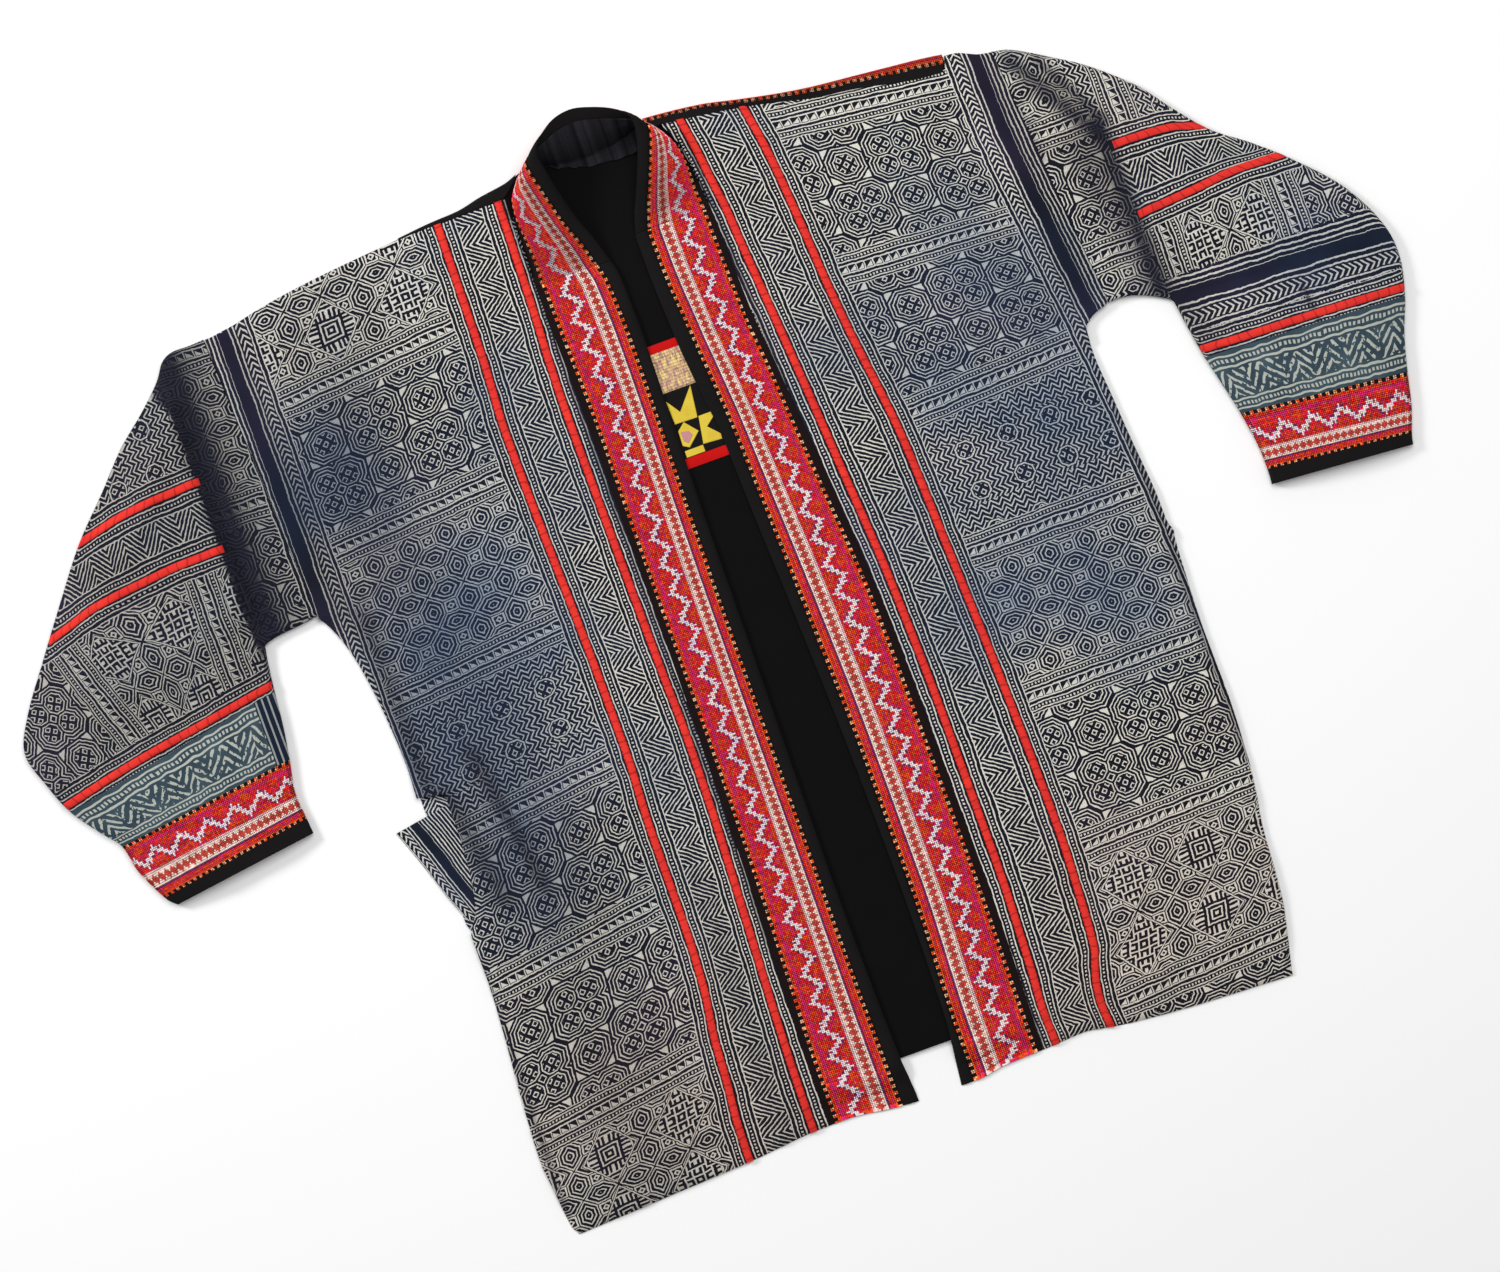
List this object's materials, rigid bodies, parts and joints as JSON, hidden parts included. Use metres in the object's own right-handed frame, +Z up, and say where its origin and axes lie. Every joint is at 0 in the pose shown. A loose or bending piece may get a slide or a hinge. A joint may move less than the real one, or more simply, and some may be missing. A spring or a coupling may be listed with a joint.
{
  "type": "hmong embroidered jacket",
  "caption": "Open-front batik jacket with embroidered opening, collar and cuffs and red strips, laid out flat with its sleeves folded down.",
  "frame": {"origin": "middle of the laid out jacket, on the surface that it lies on", "axes": "+X to the wearer's left along the sleeves, +Y from the hem to the neck, +Z up from the surface"},
  "size_m": [1.0518, 0.7592, 0.0365],
  "materials": {
    "batik_cloth": "matte hemp with fine resist-dyed lines",
    "black_cotton": "matte black cotton",
    "red_cotton": "matte red cotton strips",
    "embroidery": "counted silk stitches on black cotton",
    "faded_indigo": "matte faded indigo cloth",
    "gold_brocade": "soft sheen woven brocade",
    "yellow_patchwork": "matte yellow and black pieced cloth"
  },
  "bodies": {
    "root": {"back_lining": "black_cotton", "back_panel": "batik_cloth", "band_left": "embroidery", "band_right": "embroidery", "binding_left": "black_cotton", "binding_neck": "black_cotton", "binding_right": "black_cotton", "collar_band": "embroidery", "collar_facing": "black_cotton", "cuff_facing_left": "black_cotton", "cuff_facing_right": "black_cotton", "cuff_left": "embroidery", "cuff_right": "embroidery", "front_left": "batik_cloth", "front_right": "batik_cloth", "front_strip_1_left": "red_cotton", "front_strip_1_right": "red_cotton", "front_strip_2_left": "red_cotton", "front_strip_2_right": "red_cotton", "patch_brocade": "gold_brocade", "patch_star": "yellow_patchwork", "patch_trim_lower": "red_cotton", "patch_trim_upper": "red_cotton", "pocket_facing": "batik_cloth", "shoulder_band_left": "embroidery", "shoulder_band_right": "embroidery", "shoulder_strip_left": "black_cotton", "shoulder_strip_right": "black_cotton", "sleeve_left": "batik_cloth", "sleeve_right": "batik_cloth", "sleeve_strip_1_left": "red_cotton", "sleeve_strip_1_right": "red_cotton", "sleeve_strip_2_left": "red_cotton", "sleeve_strip_2_right": "red_cotton", "sleeve_strip_3_left": "red_cotton", "sleeve_strip_3_right": "red_cotton", "sleeve_stripe_left": "faded_indigo", "sleeve_stripe_right": "faded_indigo"}
  },
  "joints": []
}
